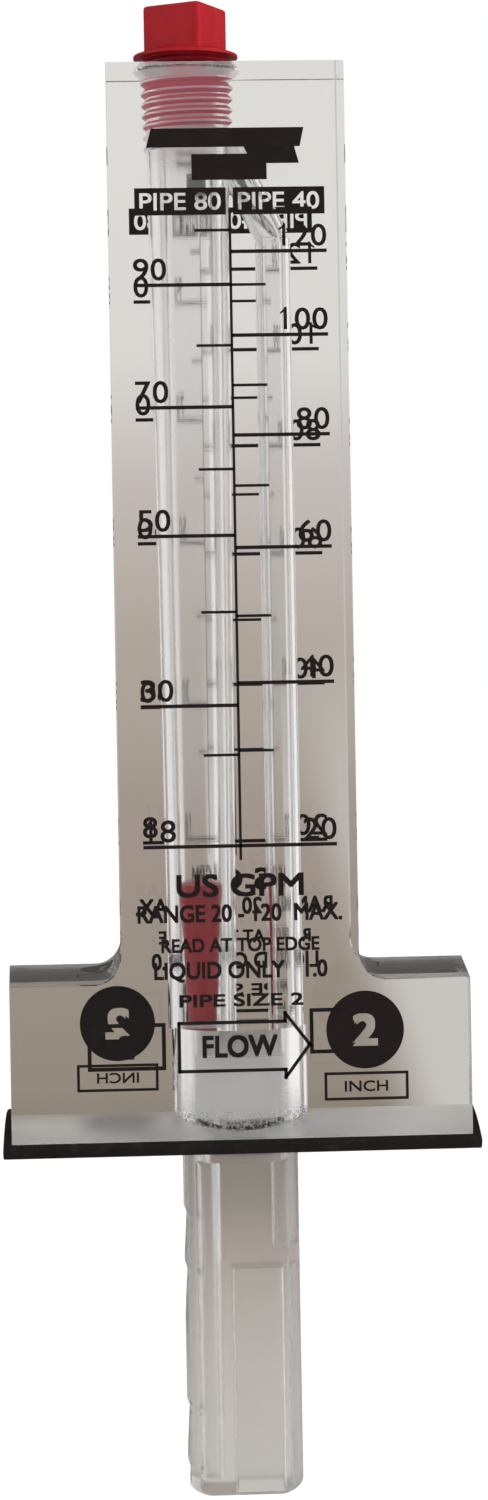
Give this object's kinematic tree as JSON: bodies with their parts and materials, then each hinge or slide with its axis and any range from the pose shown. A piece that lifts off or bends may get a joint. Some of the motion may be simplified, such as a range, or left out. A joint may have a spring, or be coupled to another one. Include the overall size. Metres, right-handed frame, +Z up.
{
  "type": "pipe flow meter",
  "caption": "Clear block flow meter for the top of a pipe, with a tapered bore and float, a plugged port, a return bore and a probe under a curved gasket.",
  "frame": {"origin": "crown of the pipe under the gasket, on the axis of the probe", "axes": "+X along the pipe with the flow, -Y towards the printed front, +Z up the block"},
  "size_m": [0.0703, 0.0282, 0.2222],
  "materials": {
    "clear_acrylic": "clear, machined and polished",
    "clear_moulding": "clear moulding with a faint grain",
    "black_rubber": "smooth rubber sheet",
    "red_float": "turned plastic",
    "red_plug": "moulded plastic, semi-gloss"
  },
  "bodies": {
    "housing": {"meter_body": "clear_acrylic", "pitot_probe": "clear_moulding", "saddle_gasket": "black_rubber"},
    "float": {"indicator_float": "red_float"},
    "plug": {"top_plug": "red_plug"}
  },
  "joints": [
    {"name": "float_travel", "type": "slide", "parent": "housing", "child": "float", "axis": [0, 0, 1], "range_m": [0, 0.1115]},
    {"name": "plug_lift", "type": "slide", "parent": "housing", "child": "plug", "axis": [0, 0, 1], "range_m": [0, 0.015]}
  ]
}
